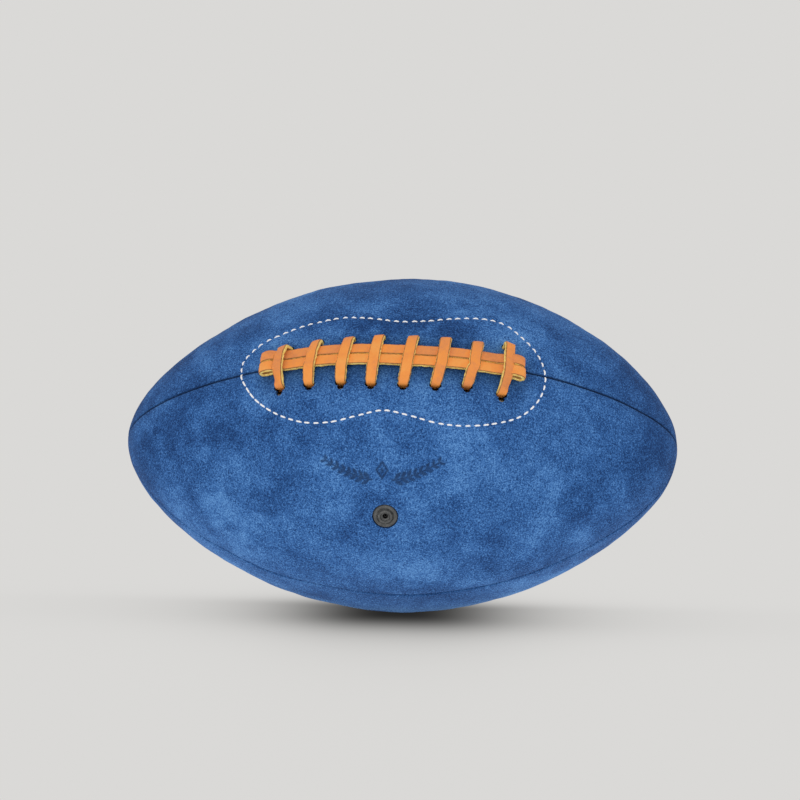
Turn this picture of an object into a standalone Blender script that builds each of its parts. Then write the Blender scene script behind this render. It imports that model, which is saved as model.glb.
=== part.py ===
"""A laced suede rugby ball, four panels round a rubber bladder.

The long axis is X, +Z is up, and the lacing and the valve face -Y. The origin is the middle of the
ball. A place on the ball is (x, theta, depth): theta turns about X from the front (-Y) up towards
+Z, and depth is measured inwards along the outer skin's normal, so a piece that stands proud of
the skin has a negative depth.
"""
import math

import bmesh
import bpy
from mathutils import Matrix, Vector

MM = 0.001

# Overall form: size 5, 298 mm long and 181 mm through the middle
HALF_LENGTH = 149.0 * MM
RADIUS = 90.3 * MM
SHOULDER_2 = -0.187
SHOULDER_4 = -0.022
SKIN_STATIONS = 18
STRIPS_PER_PANEL = 10
END_RADIUS = 1.1 * MM
LOP = 1.8 * MM  # the upper half is a little fuller towards +X, as a hand-stitched case is

# Layers, as depths below the outer skin
LEATHER = 2.2 * MM
LIP_DEPTH = 3.6 * MM
LIP_WIDTH = 2.0 * MM
SEAM_HALF_GAP = 0.15 * MM
SEAM_ROLL = 0.9 * MM
LINING_TOP = 2.55 * MM
LINING_THICKNESS = 0.5 * MM
FACING_TOP = 3.75 * MM
FACING_THICKNESS = 1.0 * MM
TONGUE_TOP = 7.45 * MM
TONGUE_THICKNESS = 0.8 * MM
BLADDER_TOP = 5.2 * MM
BLADDER_THICKNESS = 1.0 * MM
BLADDER_DIP = 4.0 * MM

# Seams: four, a quarter turn apart
LACE_SEAM = math.radians(38.5)
QUARTER = math.pi / 2
PANELS = ("top", "rear", "base", "front")

# Lacing: eight bars across the open part of the lace seam. Each bar's lower and upper hole, as
# millimetres along the ball and across from the seam, since the lace is threaded by hand
LOW_HOLES = ((-59.2, -13.2), (-43.9, -13.6), (-27.2, -13.9), (-11.8, -15.1),
             (4.6, -15.6), (21.1, -15.0), (37.2, -13.9), (54.6, -15.7))
HIGH_HOLES = ((-55.4, 11.9), (-39.6, 12.7), (-23.6, 12.7), (-8.4, 13.0),
              (8.7, 12.7), (25.2, 12.8), (41.4, 12.4), (56.8, 13.5))
HOLE_SLACK = 0.6 * MM  # how far the taut lace lies to the seam's side of its hole
BARS = len(LOW_HOLES)
LACE_MIDDLE = -1.2 * MM
STRAP_WIDTH = 5.75 * MM
STRAP_THICKNESS = 1.6 * MM
STRIP_HEIGHT = 1.15 * MM
BAR_HEIGHT = 3.2 * MM
END_BAR_HEIGHT = 4.4 * MM
STRIP_ENDS = (-68.0 * MM, 64.2 * MM)
# Where the two strips meet, as millimetres along and across from the seam
DIVIDER = ((-74.0, 1.8), (-62.0, 2.2), (-50.0, 2.6), (-34.0, 2.4), (-18.0, 1.8), (0.0, 1.0),
           (15.0, 0.7), (32.0, 1.0), (48.0, 1.2), (60.0, 0.6), (72.0, 0.2))
SLOT_LENGTH = 7.0 * MM
SLOT_WIDTH = 3.3 * MM
LACE_INSIDE = 6.2 * MM
OPENING_HALF = 68.0 * MM

# White stitching that holds the two facings, a waisted ring round the lacing
RING_HALF_LENGTH = 78.0 * MM
RING_UPPER = 31.5 * MM
RING_LOWER = 34.0 * MM
RING_WAIST = 0.21
RING_WAIST_WIDTH = 19.0 * MM
THREAD_RADIUS = 0.4 * MM
SEAM_THREAD_RADIUS = 0.3 * MM
SEAM_THREAD_DEPTH = 4.4 * MM

# Valve, below the lacing on the front panel
VALVE_X = -3.4 * MM
VALVE_THETA = math.radians(-14.7)
VALVE_RADIUS = 6.4 * MM
VALVE_HOLE = 6.7 * MM
NECK_RADIUS = 4.6 * MM
NECK_HOLE = 5.0 * MM
NEEDLE_RADIUS = 1.3 * MM
CORE_BORE = 2.9 * MM
CORE_RADIUS = 2.6 * MM
VALVE_SIDES = 18

SUEDE_BLUE = (0.037, 0.117, 0.300)
TAN_LACE = (0.52, 0.30, 0.12)


def clear_scene():
    for item in list(bpy.data.objects):
        bpy.data.objects.remove(item, do_unlink=True)


def material(name, colour, roughness):
    mat = bpy.data.materials.new(name)
    mat.use_nodes = True
    shader = mat.node_tree.nodes["Principled BSDF"]
    shader.inputs["Base Color"].default_value = (*colour, 1.0)
    shader.inputs["Roughness"].default_value = roughness
    mat.diffuse_color = (*colour, 1.0)
    return mat


def face_outwards(mesh, recalculate=True):
    """Turn every face of a closed mesh outwards."""
    work = bmesh.new()
    work.from_mesh(mesh)
    if recalculate:
        bmesh.ops.recalc_face_normals(work, faces=work.faces)
    if work.calc_volume(signed=True) < 0:
        bmesh.ops.reverse_faces(work, faces=work.faces)
    work.to_mesh(mesh)
    work.free()


def add_object(name, points, faces, colour, roughness=0.8):
    mesh = bpy.data.meshes.new(name)
    mesh.from_pydata([tuple(p) for p in points], [], faces)
    face_outwards(mesh)
    item = bpy.data.objects.new(name, mesh)
    bpy.context.collection.objects.link(item)
    mesh.materials.append(material(name, colour, roughness))
    return item


# ---------- the ball's form ----------

def skin_radius(phi):
    s = math.sin(phi)
    return RADIUS * math.cos(phi) * (1 + SHOULDER_2 * s**2 + SHOULDER_4 * s**4)


def profile(phi):
    """The skin's meridian at phi, and its outward normal, both as (along X, away from X)."""
    step = 1e-4
    rise = (skin_radius(phi + step) - skin_radius(phi - step)) / (2 * step)
    run = HALF_LENGTH * math.cos(phi)
    size = math.hypot(rise, run)
    return HALF_LENGTH * math.sin(phi), skin_radius(phi), -rise / size, run / size


def lop(phi, theta):
    """How much fuller the case is here than its plain form."""
    return LOP * math.sin(2 * phi) * ((1 + math.sin(theta)) / 2) ** 3


def place(phi, theta, depth):
    x, r, nx, nr = profile(phi)
    radius = r + lop(phi, theta) - depth * nr
    return Vector((x - depth * nx, -radius * math.cos(theta), radius * math.sin(theta)))


def phi_at(x):
    return math.asin(max(-1.0, min(1.0, x / HALF_LENGTH)))


def by_lace(x, across, depth):
    """A place given by its distance across from the lace seam."""
    phi = phi_at(x)
    return place(phi, LACE_SEAM + across / skin_radius(phi), depth)


def outward(phi, theta):
    nx, nr = profile(phi)[2:]
    return Vector((nx, -nr * math.cos(theta), nr * math.sin(theta)))


def level_x(out):
    """The X direction laid flat on the skin."""
    return (Vector((1, 0, 0)) - out * out.x).normalized()


def end_phi(radius):
    """Where the skin narrows to this radius."""
    low, high = 0.0, QUARTER
    for _ in range(40):
        middle = (low + high) / 2
        if skin_radius(middle) > radius:
            low = middle
        else:
            high = middle
    return low


def stations(count, limit):
    return [limit * (2 * i / count - 1) for i in range(count + 1)]


# ---------- mesh builders ----------

def slab(name, outer, inner, colour, roughness=0.8):
    """A sheet between two grids of points with the same rows and columns."""
    rows, columns = len(outer), len(outer[0])
    points = [p for row in outer for p in row] + [p for row in inner for p in row]
    shift = rows * columns
    faces = []
    for i in range(rows - 1):
        for k in range(columns - 1):
            a = i * columns + k
            b = a + columns
            faces.append((a, a + 1, b + 1, b))
            faces.append((shift + a, shift + b, shift + b + 1, shift + a + 1))
    for i in range(rows - 1):
        for k in (0, columns - 1):
            a = i * columns + k
            b = a + columns
            faces.append((a, b, shift + b, shift + a))
    for i in (0, rows - 1):
        for k in range(columns - 1):
            a = i * columns + k
            faces.append((a, shift + a, shift + a + 1, a + 1))
    return add_object(name, points, faces, colour, roughness)


def sweep(name, sections, colour, roughness=0.8):
    """A bar through closed sections of the same number of points, with flat ends."""
    sides = len(sections[0])
    points = [p for section in sections for p in section]
    faces = []
    for i in range(len(sections) - 1):
        for k in range(sides):
            a = i * sides + k
            b = i * sides + (k + 1) % sides
            faces.append((a, b, b + sides, a + sides))
    faces.append(tuple(range(sides)))
    faces.append(tuple(range(len(points) - 1, len(points) - 1 - sides, -1)))
    return add_object(name, points, faces, colour, roughness)


def cord_sections(path, radius, sides=5):
    sections = []
    for i, here in enumerate(path):
        along = (path[min(i + 1, len(path) - 1)] - path[max(i - 1, 0)]).normalized()
        out = Vector((0.0, here.y, here.z)).normalized()
        side = along.cross(out).normalized()
        up = side.cross(along)
        turns = [2 * math.pi * k / sides for k in range(sides)]
        sections.append([here + radius * (math.cos(t) * side + math.sin(t) * up) for t in turns])
    return sections


def lathe(name, outline, centre, axis, colour, roughness=0.8):
    """A closed (radius, height) outline turned about an axis."""
    turn = Vector((0, 0, 1)).rotation_difference(axis).to_matrix()
    sides = VALVE_SIDES
    points = []
    for k in range(sides):
        a = 2 * math.pi * k / sides
        for r, h in outline:
            points.append(centre + turn @ Vector((r * math.cos(a), r * math.sin(a), h)))
    count = len(outline)
    faces = []
    for k in range(sides):
        for i in range(count):
            a = k * count + i
            b = k * count + (i + 1) % count
            c = (k + 1) % sides * count + (i + 1) % count
            d = (k + 1) % sides * count + i
            faces.append((a, b, c, d))
    return add_object(name, points, faces, colour, roughness)


def box_points(centre, frame, size):
    corners = []
    for x in (-0.5, 0.5):
        for y in (-0.5, 0.5):
            for z in (-0.5, 0.5):
                corners.append(centre + frame @ Vector((x * size[0], y * size[1], z * size[2])))
    return corners


BOX_FACES = [(0, 1, 3, 2), (4, 6, 7, 5), (0, 4, 5, 1), (2, 3, 7, 6), (0, 2, 6, 4), (1, 5, 7, 3)]


def cut(item, cutter):
    """Take the cutter out of the item, and keep the result as plain mesh."""
    boolean = item.modifiers.new("cut", "BOOLEAN")
    boolean.operation = "DIFFERENCE"
    boolean.solver = "MANIFOLD"
    boolean.object = cutter
    graph = bpy.context.evaluated_depsgraph_get()
    graph.update()
    result = bpy.data.meshes.new_from_object(item.evaluated_get(graph))
    item.modifiers.clear()
    item.data = result
    face_outwards(result, recalculate=False)


# ---------- panels and linings ----------

def seam_angles(index):
    return LACE_SEAM + index * QUARTER, LACE_SEAM + (index + 1) * QUARTER


def panel_rows():
    return stations(SKIN_STATIONS, end_phi(END_RADIUS))


def panel_strips(start, stop):
    """The angles between a panel's two seams, which every layer under it shares."""
    return [start + (stop - start) * k / STRIPS_PER_PANEL for k in range(1, STRIPS_PER_PANEL)]


def edge_turn(phi, across):
    """The angle that a distance from a seam makes, drawn in where the ball narrows to its ends."""
    r = skin_radius(phi)
    drawn = SEAM_HALF_GAP + (across - SEAM_HALF_GAP) * min(1.0, r / (9 * MM))
    return drawn / r


def build_panel(index):
    start, stop = seam_angles(index)
    outer, inner = [], []
    for phi in panel_rows():
        narrow = min(1.0, skin_radius(phi) / (9 * MM))
        lip = [(SEAM_HALF_GAP, SEAM_ROLL), (0.8 * MM, 0.25 * MM), (LIP_WIDTH, 0.0)]
        root = [(SEAM_HALF_GAP, LIP_DEPTH), (LIP_WIDTH, LIP_DEPTH), (LIP_WIDTH + 0.3 * MM, LEATHER)]
        middle = panel_strips(start, stop)
        top = [place(phi, start + edge_turn(phi, s), d * narrow) for s, d in lip]
        top += [place(phi, t, 0.0) for t in middle]
        top += [place(phi, stop - edge_turn(phi, s), d * narrow) for s, d in reversed(lip)]
        under = [place(phi, start + edge_turn(phi, s), d) for s, d in root]
        under += [place(phi, t, LEATHER) for t in middle]
        under += [place(phi, stop - edge_turn(phi, s), d) for s, d in reversed(root)]
        outer.append(top)
        inner.append(under)
    return slab(f"{PANELS[index]}_panel", outer, inner, SUEDE_BLUE, 0.95)


def build_lining(index):
    start, stop = seam_angles(index)
    edge = LIP_WIDTH + 0.9 * MM
    outer, inner = [], []
    for phi in panel_rows()[1:-1]:
        turn = edge / skin_radius(phi)
        inside = [t for t in panel_strips(start, stop) if start + turn < t < stop - turn]
        inside = inside if len(inside) == STRIPS_PER_PANEL - 1 else panel_strips(start + turn, stop - turn)
        angles = [start + turn, *inside, stop - turn]
        outer.append([place(phi, t, LINING_TOP) for t in angles])
        inner.append([place(phi, t, LINING_TOP + LINING_THICKNESS) for t in angles])
    return slab(f"{PANELS[index]}_lining", outer, inner, (0.72, 0.68, 0.58), 0.95)


# ---------- lacing ----------

def ring_across(x, reach):
    """Distance from the lace seam to the stitched ring."""
    full = max(0.0, 1 - abs((x - LACE_MIDDLE) / RING_HALF_LENGTH) ** 4) ** 0.5
    waist = 1 - RING_WAIST * math.exp(-((x - LACE_MIDDLE) / RING_WAIST_WIDTH) ** 2)
    return reach * full * waist


def build_facing(name, sign, reach):
    """A leather strip under the panel's lace edge, a little larger than its stitched ring."""
    outer, inner = [], []
    half = RING_HALF_LENGTH + 1.0 * MM
    count = 16
    for i in range(count + 1):
        x = LACE_MIDDLE + half * (2 * i / count - 1)
        near = LIP_WIDTH + 0.9 * MM
        far = max(near + 7 * MM, ring_across(x, reach) + 3 * MM)
        steps = [sign * (near + (far - near) * k / 3) for k in range(4)]
        outer.append([by_lace(x, s, FACING_TOP) for s in steps])
        inner.append([by_lace(x, s, FACING_TOP + FACING_THICKNESS) for s in steps])
    return slab(name, outer, inner, (0.50, 0.36, 0.22), 0.85)


def build_tongue():
    """A soft strip between the lacing and the bladder."""
    outer, inner = [], []
    count = 12
    for i in range(count + 1):
        x = LACE_MIDDLE + 76 * MM * (2 * i / count - 1)
        steps = [22 * MM * (2 * k / 4 - 1) for k in range(5)]
        outer.append([by_lace(x, s, TONGUE_TOP) for s in steps])
        inner.append([by_lace(x, s, TONGUE_TOP + TONGUE_THICKNESS) for s in steps])
    return slab("lace_tongue", outer, inner, (0.42, 0.30, 0.18), 0.85)


def divider(x):
    """Where the two strips meet, as a distance across from the seam."""
    for (x0, s0), (x1, s1) in zip(DIVIDER, DIVIDER[1:]):
        if x <= x1 * MM:
            break
    return (s0 + (s1 - s0) * (x / MM - x0) / (x1 - x0)) * MM


def hole_cutter(holes):
    """Upright boxes, one for each hole of a row."""
    points, faces = [], []
    for along, across in holes:
        phi = phi_at(along * MM)
        theta = LACE_SEAM + across * MM / skin_radius(phi)
        out = outward(phi, theta)
        side = level_x(out)
        frame = Matrix((side, out.cross(side), out)).transposed()
        size = (SLOT_LENGTH, SLOT_WIDTH, 14 * MM)
        base = len(points)
        points += box_points(place(phi, theta, 2.0 * MM), frame, size)
        faces += [tuple(base + k for k in face) for face in BOX_FACES]
    return add_object("hole_cutter", points, faces, (1, 1, 1))


def strap_section(centre, width_way, flat_way):
    w = width_way * (STRAP_WIDTH / 2)
    t = flat_way * (STRAP_THICKNESS / 2)
    return [centre - w - t, centre + w - t, centre + w + t, centre - w + t]


def strap(name, path, wide, colour):
    """A flat strap through points. wide gives the direction of its width at each point."""
    sections = []
    for i, here in enumerate(path):
        before = (here - path[max(i - 1, 0)])
        after = (path[min(i + 1, len(path) - 1)] - here)
        along = (before.normalized() + after.normalized()).normalized()
        width = (wide[i] - along * wide[i].dot(along)).normalized()
        flat = along.cross(width)
        sections.append(strap_section(here, width, flat))
    return sweep(name, sections, colour, 0.6)


def strip_end():
    """A strip's folded end as (distance in from the end, height), from its tail round and back."""
    fold = STRAP_THICKNESS / 2 + 0.15 * MM
    tail = STRIP_HEIGHT
    high = tail + 2 * fold
    turn = 1.5 * MM
    spots = [(3.6 * MM, tail), (turn, tail)]
    for degrees in (135, 90, 45):
        a = math.radians(degrees)
        spots.append((turn - fold * math.sin(a), tail + fold + fold * math.cos(a)))
    return spots + [(turn, high), (4.0 * MM, high), (6.4 * MM, STRIP_HEIGHT)]


def build_strip(name, side):
    """One of the two long strips under the bars, folded under itself at both ends."""
    left, right = STRIP_ENDS
    spots = [(left + s, h) for s, h in strip_end()]
    spots += [(left + 13 * MM + (right - left - 26 * MM) * k / 13, STRIP_HEIGHT) for k in range(14)]
    spots += [(right - s, h) for s, h in reversed(strip_end())]
    path, wide = [], []
    for x, height in spots:
        across = divider(x) + side * (STRAP_WIDTH / 2 + 0.13 * MM)
        path.append(by_lace(x, across, -height))
        theta = LACE_SEAM + across / skin_radius(phi_at(x))
        wide.append(Vector((0, math.sin(theta), math.cos(theta))))
    return strap(name, path, wide, TAN_LACE)


def build_cross_lace():
    """One strap: over each bar, in at the upper hole and slanting inside to the next lower hole."""
    spots = []
    for index in range(BARS):
        low_x, low = (v * MM for v in LOW_HOLES[index])
        high_x, high = (v * MM for v in HIGH_HOLES[index])
        low, high = low + HOLE_SLACK, high - HOLE_SLACK
        inside = LACE_INSIDE
        if index == 0:
            spots += [(low_x, low + 9 * MM, inside), (low_x, low + 3.4 * MM, inside)]
        crown = -(END_BAR_HEIGHT if index in (0, BARS - 1) else BAR_HEIGHT)
        shoulder = (crown - (STRAP_THICKNESS / 2 + 0.65 * MM)) / 2
        bar = [(low + 1.4 * MM, inside - 0.05 * MM), (low + 0.45 * MM, inside - 0.45 * MM)]
        bar += [(low, inside - 1.4 * MM), (low, 0.4 * MM)]
        bar += [(low + 0.7 * MM, -1.15 * MM), (low + 3.2 * MM, -1.45 * MM), (low + 6.0 * MM, shoulder)]
        bar += [(-4.6 * MM, crown), (0.0, crown), (3.5 * MM, crown), (high - 4.4 * MM, crown)]
        bar += [(high - 2.4 * MM, shoulder), (high - 0.7 * MM, -1.15 * MM)]
        bar += [(high, 0.4 * MM), (high, inside - 1.4 * MM)]
        bar += [(high - 0.45 * MM, inside - 0.45 * MM), (high - 1.4 * MM, inside - 0.05 * MM)]
        for s, d in bar:
            f = max(0.0, min(1.0, (s - low) / (high - low)))
            spots.append((low_x + (high_x - low_x) * f, s, d))
        if index < BARS - 1:
            next_x, next_low = (v * MM for v in LOW_HOLES[index + 1])
            a = (high_x, high - 3.4 * MM)
            b = (next_x, next_low + HOLE_SLACK + 3.4 * MM)
            for k in range(6):
                f = k / 5
                ease = f * f * (3 - 2 * f)
                spots.append((a[0] + (b[0] - a[0]) * ease, a[1] + (b[1] - a[1]) * f, inside))
        else:
            spots += [(high_x, high - 3.4 * MM, inside), (high_x, high - 9 * MM, inside)]
    path = [by_lace(x, s, d) for x, s, d in spots]
    wide = []
    for i, (x, s, d) in enumerate(spots):
        phi = phi_at(x)
        theta = LACE_SEAM + s / skin_radius(phi)
        out = outward(phi, theta)
        if abs(d - LACE_INSIDE) < 1e-9:
            along = path[min(i + 1, len(path) - 1)] - path[max(i - 1, 0)]
            flat = (along - out * along.dot(out)).normalized()
            wide.append(flat.cross(out) if flat.cross(out).x > 0 else out.cross(flat))
        else:
            wide.append(level_x(out))
    return strap("cross_lace", path, wide, TAN_LACE)


# ---------- threads ----------

def build_seam_thread(name, theta, low, high, count):
    start, stop = phi_at(low), phi_at(high)
    turns = [start + (stop - start) * i / count for i in range(count + 1)]
    path = [place(phi, theta, SEAM_THREAD_DEPTH) for phi in turns]
    return sweep(name, cord_sections(path, SEAM_THREAD_RADIUS), (0.75, 0.73, 0.66), 0.8)


def build_ring_thread(name, sign, reach):
    path = []
    count = 32
    start = LIP_WIDTH + 0.5 * MM
    for i in range(count + 1):
        x = LACE_MIDDLE - RING_HALF_LENGTH * math.cos(math.pi * i / count)
        across = start + ring_across(x, reach - start)
        path.append(by_lace(x, sign * across, -(THREAD_RADIUS + 0.06 * MM)))
    return sweep(name, cord_sections(path, THREAD_RADIUS), (0.85, 0.85, 0.82), 0.7)


# ---------- bladder and valve ----------

def bladder_depth(x, theta, layer):
    """The bladder gives way under the lacing."""
    along = max(0.0, 1 - (abs(x - LACE_MIDDLE) / (125 * MM)) ** 4)
    turn = abs(math.remainder(theta - LACE_SEAM, 2 * math.pi))
    around = max(0.0, 1 - (turn / math.radians(40)) ** 4)
    return layer + BLADDER_DIP * along * around


def bladder_skin(layer, flip, base):
    around = 24
    points, faces = [], []
    rows = stations(14, QUARTER)[1:-1]
    first = len(rows) * around
    for phi in rows:
        for k in range(around):
            theta = LACE_SEAM + 2 * math.pi * k / around
            x = HALF_LENGTH * math.sin(phi)
            points.append(place(phi, theta, bladder_depth(x, theta, layer)))
    points.append(Vector((-(HALF_LENGTH - layer), 0, 0)))
    points.append(Vector((HALF_LENGTH - layer, 0, 0)))
    for i in range(len(rows) - 1):
        for k in range(around):
            a = i * around + k
            b = i * around + (k + 1) % around
            faces.append((a, b, b + around, a + around))
    last = (len(rows) - 1) * around
    for k in range(around):
        faces.append((first, (k + 1) % around, k))
        faces.append((first + 1, last + k, last + (k + 1) % around))
    faces = [tuple(base + v for v in face) for face in faces]
    if flip:
        faces = [tuple(reversed(face)) for face in faces]
    return points, faces


def build_bladder(cutter):
    points, faces = bladder_skin(BLADDER_TOP, False, 0)
    more, other = bladder_skin(BLADDER_TOP + BLADDER_THICKNESS, True, len(points))
    mesh = bpy.data.meshes.new("bladder")
    mesh.from_pydata([tuple(p) for p in points + more], [], faces + other)
    item = bpy.data.objects.new("bladder", mesh)
    bpy.context.collection.objects.link(item)
    face_outwards(mesh, recalculate=False)
    mesh.materials.append(material("bladder", (0.10, 0.10, 0.10), 0.6))
    cut(item, cutter)
    return item


def valve_frame():
    phi = phi_at(VALVE_X)
    return place(phi, VALVE_THETA, 0.0), outward(phi, VALVE_THETA)


def cylinder(name, radius, low, high):
    centre, axis = valve_frame()
    turn = Vector((0, 0, 1)).rotation_difference(axis).to_matrix()
    sides = VALVE_SIDES
    points = []
    for h in (low, high):
        for k in range(sides):
            a = 2 * math.pi * (k + 0.5) / sides
            points.append(centre + turn @ Vector((radius * math.cos(a), radius * math.sin(a), h)))
    faces = [(k, (k + 1) % sides, sides + (k + 1) % sides, sides + k) for k in range(sides)]
    faces += [tuple(range(sides)), tuple(range(2 * sides - 1, sides - 1, -1))]
    return add_object(name, points, faces, (1, 1, 1))


def build_valve():
    centre, axis = valve_frame()
    housing = [(1.3, 0.12), (2.5, 0.12), (2.8, 0.6), (3.7, 0.6), (4.0, 0.12), (6.0, 0.12)]
    housing += [(6.4, -0.2), (6.4, -1.9), (4.6, -2.1), (4.6, -9.0), (11.5, -9.4), (11.5, -10.2)]
    housing += [(4.6, -10.9), (4.6, -14.5), (2.9, -14.5), (2.9, -1.8), (1.3, -1.5)]
    outline = [(r * MM, h * MM) for r, h in housing]
    lathe("valve_housing", outline, centre, axis, (0.24, 0.25, 0.27), 0.6)
    core = [(0.5, -2.0), (1.2, -1.95), (2.6, -2.6), (2.6, -13.6), (2.0, -14.2), (0.5, -14.2)]
    outline = [(r * MM, h * MM) for r, h in core]
    lathe("valve_core", outline, centre, axis, (0.09, 0.09, 0.09), 0.5)


def main():
    clear_scene()
    upper_slots = hole_cutter(HIGH_HOLES)
    lower_slots = hole_cutter(LOW_HOLES)
    valve_hole = cylinder("valve_hole", VALVE_HOLE, -4.6 * MM, 6 * MM)
    lining_hole = cylinder("lining_hole", NECK_HOLE, -8 * MM, 6 * MM)
    bladder_hole = cylinder("bladder_hole", NECK_HOLE, -9 * MM, -2 * MM)

    panels = [build_panel(i) for i in range(4)]
    linings = [build_lining(i) for i in range(4)]
    upper_facing = build_facing("upper_lace_facing", 1, RING_UPPER)
    lower_facing = build_facing("lower_lace_facing", -1, RING_LOWER)
    for item in (panels[0], linings[0], upper_facing):
        cut(item, upper_slots)
    for item in (panels[3], linings[3], lower_facing):
        cut(item, lower_slots)
    cut(panels[3], valve_hole)
    cut(linings[3], lining_hole)

    build_tongue()
    build_bladder(bladder_hole)
    build_valve()
    build_cross_lace()
    build_strip("upper_lace_strip", 1)
    build_strip("lower_lace_strip", -1)
    build_ring_thread("upper_facing_thread", 1, RING_UPPER)
    build_ring_thread("lower_facing_thread", -1, RING_LOWER)

    reach = HALF_LENGTH - 7.5 * MM
    left = LACE_MIDDLE - OPENING_HALF - 12 * MM
    right = LACE_MIDDLE + OPENING_HALF + 12 * MM
    build_seam_thread("lace_seam_thread_left", LACE_SEAM, -reach, left, 8)
    build_seam_thread("lace_seam_thread_right", LACE_SEAM, right, reach, 8)
    for index, name in ((1, "upper_rear"), (2, "lower_rear"), (3, "base")):
        theta = LACE_SEAM + index * QUARTER
        build_seam_thread(f"{name}_seam_thread", theta, -reach, reach, 18)

    for item in (upper_slots, lower_slots, valve_hole, lining_hole, bladder_hole):
        bpy.data.objects.remove(item, do_unlink=True)


main()
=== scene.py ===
import math

import bmesh
import bpy
import numpy as np
from mathutils import Matrix, Vector, kdtree


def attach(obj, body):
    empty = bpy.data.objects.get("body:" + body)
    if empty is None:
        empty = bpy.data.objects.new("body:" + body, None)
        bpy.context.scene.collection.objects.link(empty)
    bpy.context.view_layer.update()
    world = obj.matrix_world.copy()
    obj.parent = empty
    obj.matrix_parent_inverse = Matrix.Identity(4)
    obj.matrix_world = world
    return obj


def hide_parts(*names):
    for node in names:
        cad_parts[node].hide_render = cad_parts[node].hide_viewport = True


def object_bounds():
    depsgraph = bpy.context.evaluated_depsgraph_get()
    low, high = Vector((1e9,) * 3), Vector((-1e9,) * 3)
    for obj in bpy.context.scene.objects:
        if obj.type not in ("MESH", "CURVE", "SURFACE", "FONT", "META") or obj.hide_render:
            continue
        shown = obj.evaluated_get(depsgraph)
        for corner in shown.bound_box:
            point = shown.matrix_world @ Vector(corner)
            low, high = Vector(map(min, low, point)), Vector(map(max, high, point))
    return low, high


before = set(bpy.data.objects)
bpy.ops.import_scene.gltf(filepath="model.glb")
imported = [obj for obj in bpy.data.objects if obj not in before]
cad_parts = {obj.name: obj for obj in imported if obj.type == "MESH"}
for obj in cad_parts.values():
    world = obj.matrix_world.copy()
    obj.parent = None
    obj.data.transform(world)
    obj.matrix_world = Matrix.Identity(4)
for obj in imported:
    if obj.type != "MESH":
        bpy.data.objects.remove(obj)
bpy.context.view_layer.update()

# The looks of a laced suede rugby ball. The long axis is X, +Z is up, the lacing faces -Y.
# A place on the ball is (x, theta, lift): theta turns about X from the front up towards +Z, and
# lift is the height over the outer skin. Near the lacing, across is the distance from its seam.
MM = 0.001

# The form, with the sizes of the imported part
HALF_LENGTH = 149.0 * MM
RADIUS = 90.3 * MM
SHOULDER_2 = -0.187
SHOULDER_4 = -0.022
LOP = 1.8 * MM
LEATHER = 2.2 * MM
LIP_DEPTH = 3.6 * MM
SEAM_HALF_GAP = 0.15 * MM
LACE_SEAM = math.radians(38.5)
QUARTER = math.pi / 2
PANELS = ("top", "rear", "base", "front")
TOP, REAR, BASE, FRONT = range(len(PANELS))
LACE_MIDDLE = -1.2 * MM
LACE_INSIDE = 6.2 * MM
VALVE_X = -3.4 * MM
VALVE_RADIUS = 6.4 * MM
VALVE_THETA = math.radians(-14.7)
VALVE_CLEARANCE = 0.22 * MM
ROUND_SIDES = 96

# Lace holes, bar by bar: (along, across) in mm, below and above the strips
LOW_HOLES = ((-59.2, -12.3), (-43.9, -12.6), (-27.4, -13.0), (-11.9, -14.4),
             (4.5, -14.9), (20.9, -14.3), (36.9, -13.2), (54.4, -15.1))
HIGH_HOLES = ((-56.2, 10.6), (-40.3, 12.3), (-23.6, 12.5), (-8.3, 13.0),
              (8.9, 12.7), (25.3, 12.8), (41.5, 12.4), (57.0, 13.5))
BARS = len(LOW_HOLES)
# How far each bar's finished side leans to the left, in degrees, at its foot, middle and top
BAR_LEAN = ((30, 8, 20), (4, 4, 18), (5, 2, 15), (4, 1, 13),
            (-8, -1, 13), (-12, 0, 13), (-13, -3, 10), (-30, -14, -16))
# Where the middle of each bar lies between its lower and its upper hole's place along the ball
BAR_MIDDLE = (-0.05, 0.06, 0.14, 0.28, 0.40, 0.52, 0.54, 0.72)
STRAP_WIDTH = 5.75 * MM
STRAP_THICKNESS = 1.9 * MM
HOLE_SIZE = (6.3 * MM, 3.3 * MM)
# How far each lower hole is stretched open below its bar, in mm, and the shape of that stretch as
# (mm along, share of the stretch)
STRETCH = (2.9, 1.6, 2.3, 1.5, 1.3, 1.6, 1.8, 2.5)
STRETCH_SHAPE = ((-2.0, 0.1), (-1.5, 0.75), (-0.6, 1.0), (0.6, 1.0), (1.5, 0.7), (2.0, 0.1))
HOLE_SLACK = 0.75  # mm that the strap is pulled to the seam's side of its hole

# Outline of the white stitching round the lacing: (along, across) in mm
RING = ((-80.8, 1.0), (-79.8, 9.5), (-71.0, 18.6), (-59.0, 23.4), (-45.0, 27.8), (-29.0, 29.5),
        (-14.0, 27.2), (2.0, 24.3), (16.0, 26.0), (30.0, 29.5), (43.0, 31.6), (54.0, 30.2),
        (64.0, 23.0), (73.0, 11.8), (76.6, -1.0), (73.6, -13.5), (64.5, -24.5), (51.0, -31.0),
        (36.0, -34.3), (22.0, -34.2), (8.0, -31.2), (-5.0, -28.8), (-18.0, -31.2), (-32.0, -33.8),
        (-46.0, -32.6), (-60.0, -26.4), (-72.0, -16.4), (-79.2, -5.0))
RING_STEP = 0.25 * MM
STITCH_PITCH = 4.6 * MM
STITCH_RADIUS = 0.42 * MM
STITCH_SPOTS = 11  # places along one stitch


# ---------- the ball's form, on arrays ----------

def skin_radius(phi):
    s = np.sin(phi)
    return RADIUS * np.cos(phi) * (1 + SHOULDER_2 * s**2 + SHOULDER_4 * s**4)


def profile(phi):
    step = 1e-4
    rise = (skin_radius(phi + step) - skin_radius(phi - step)) / (2 * step)
    run = HALF_LENGTH * np.cos(phi)
    size = np.hypot(rise, run)
    return HALF_LENGTH * np.sin(phi), skin_radius(phi), -rise / size, run / size


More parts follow.
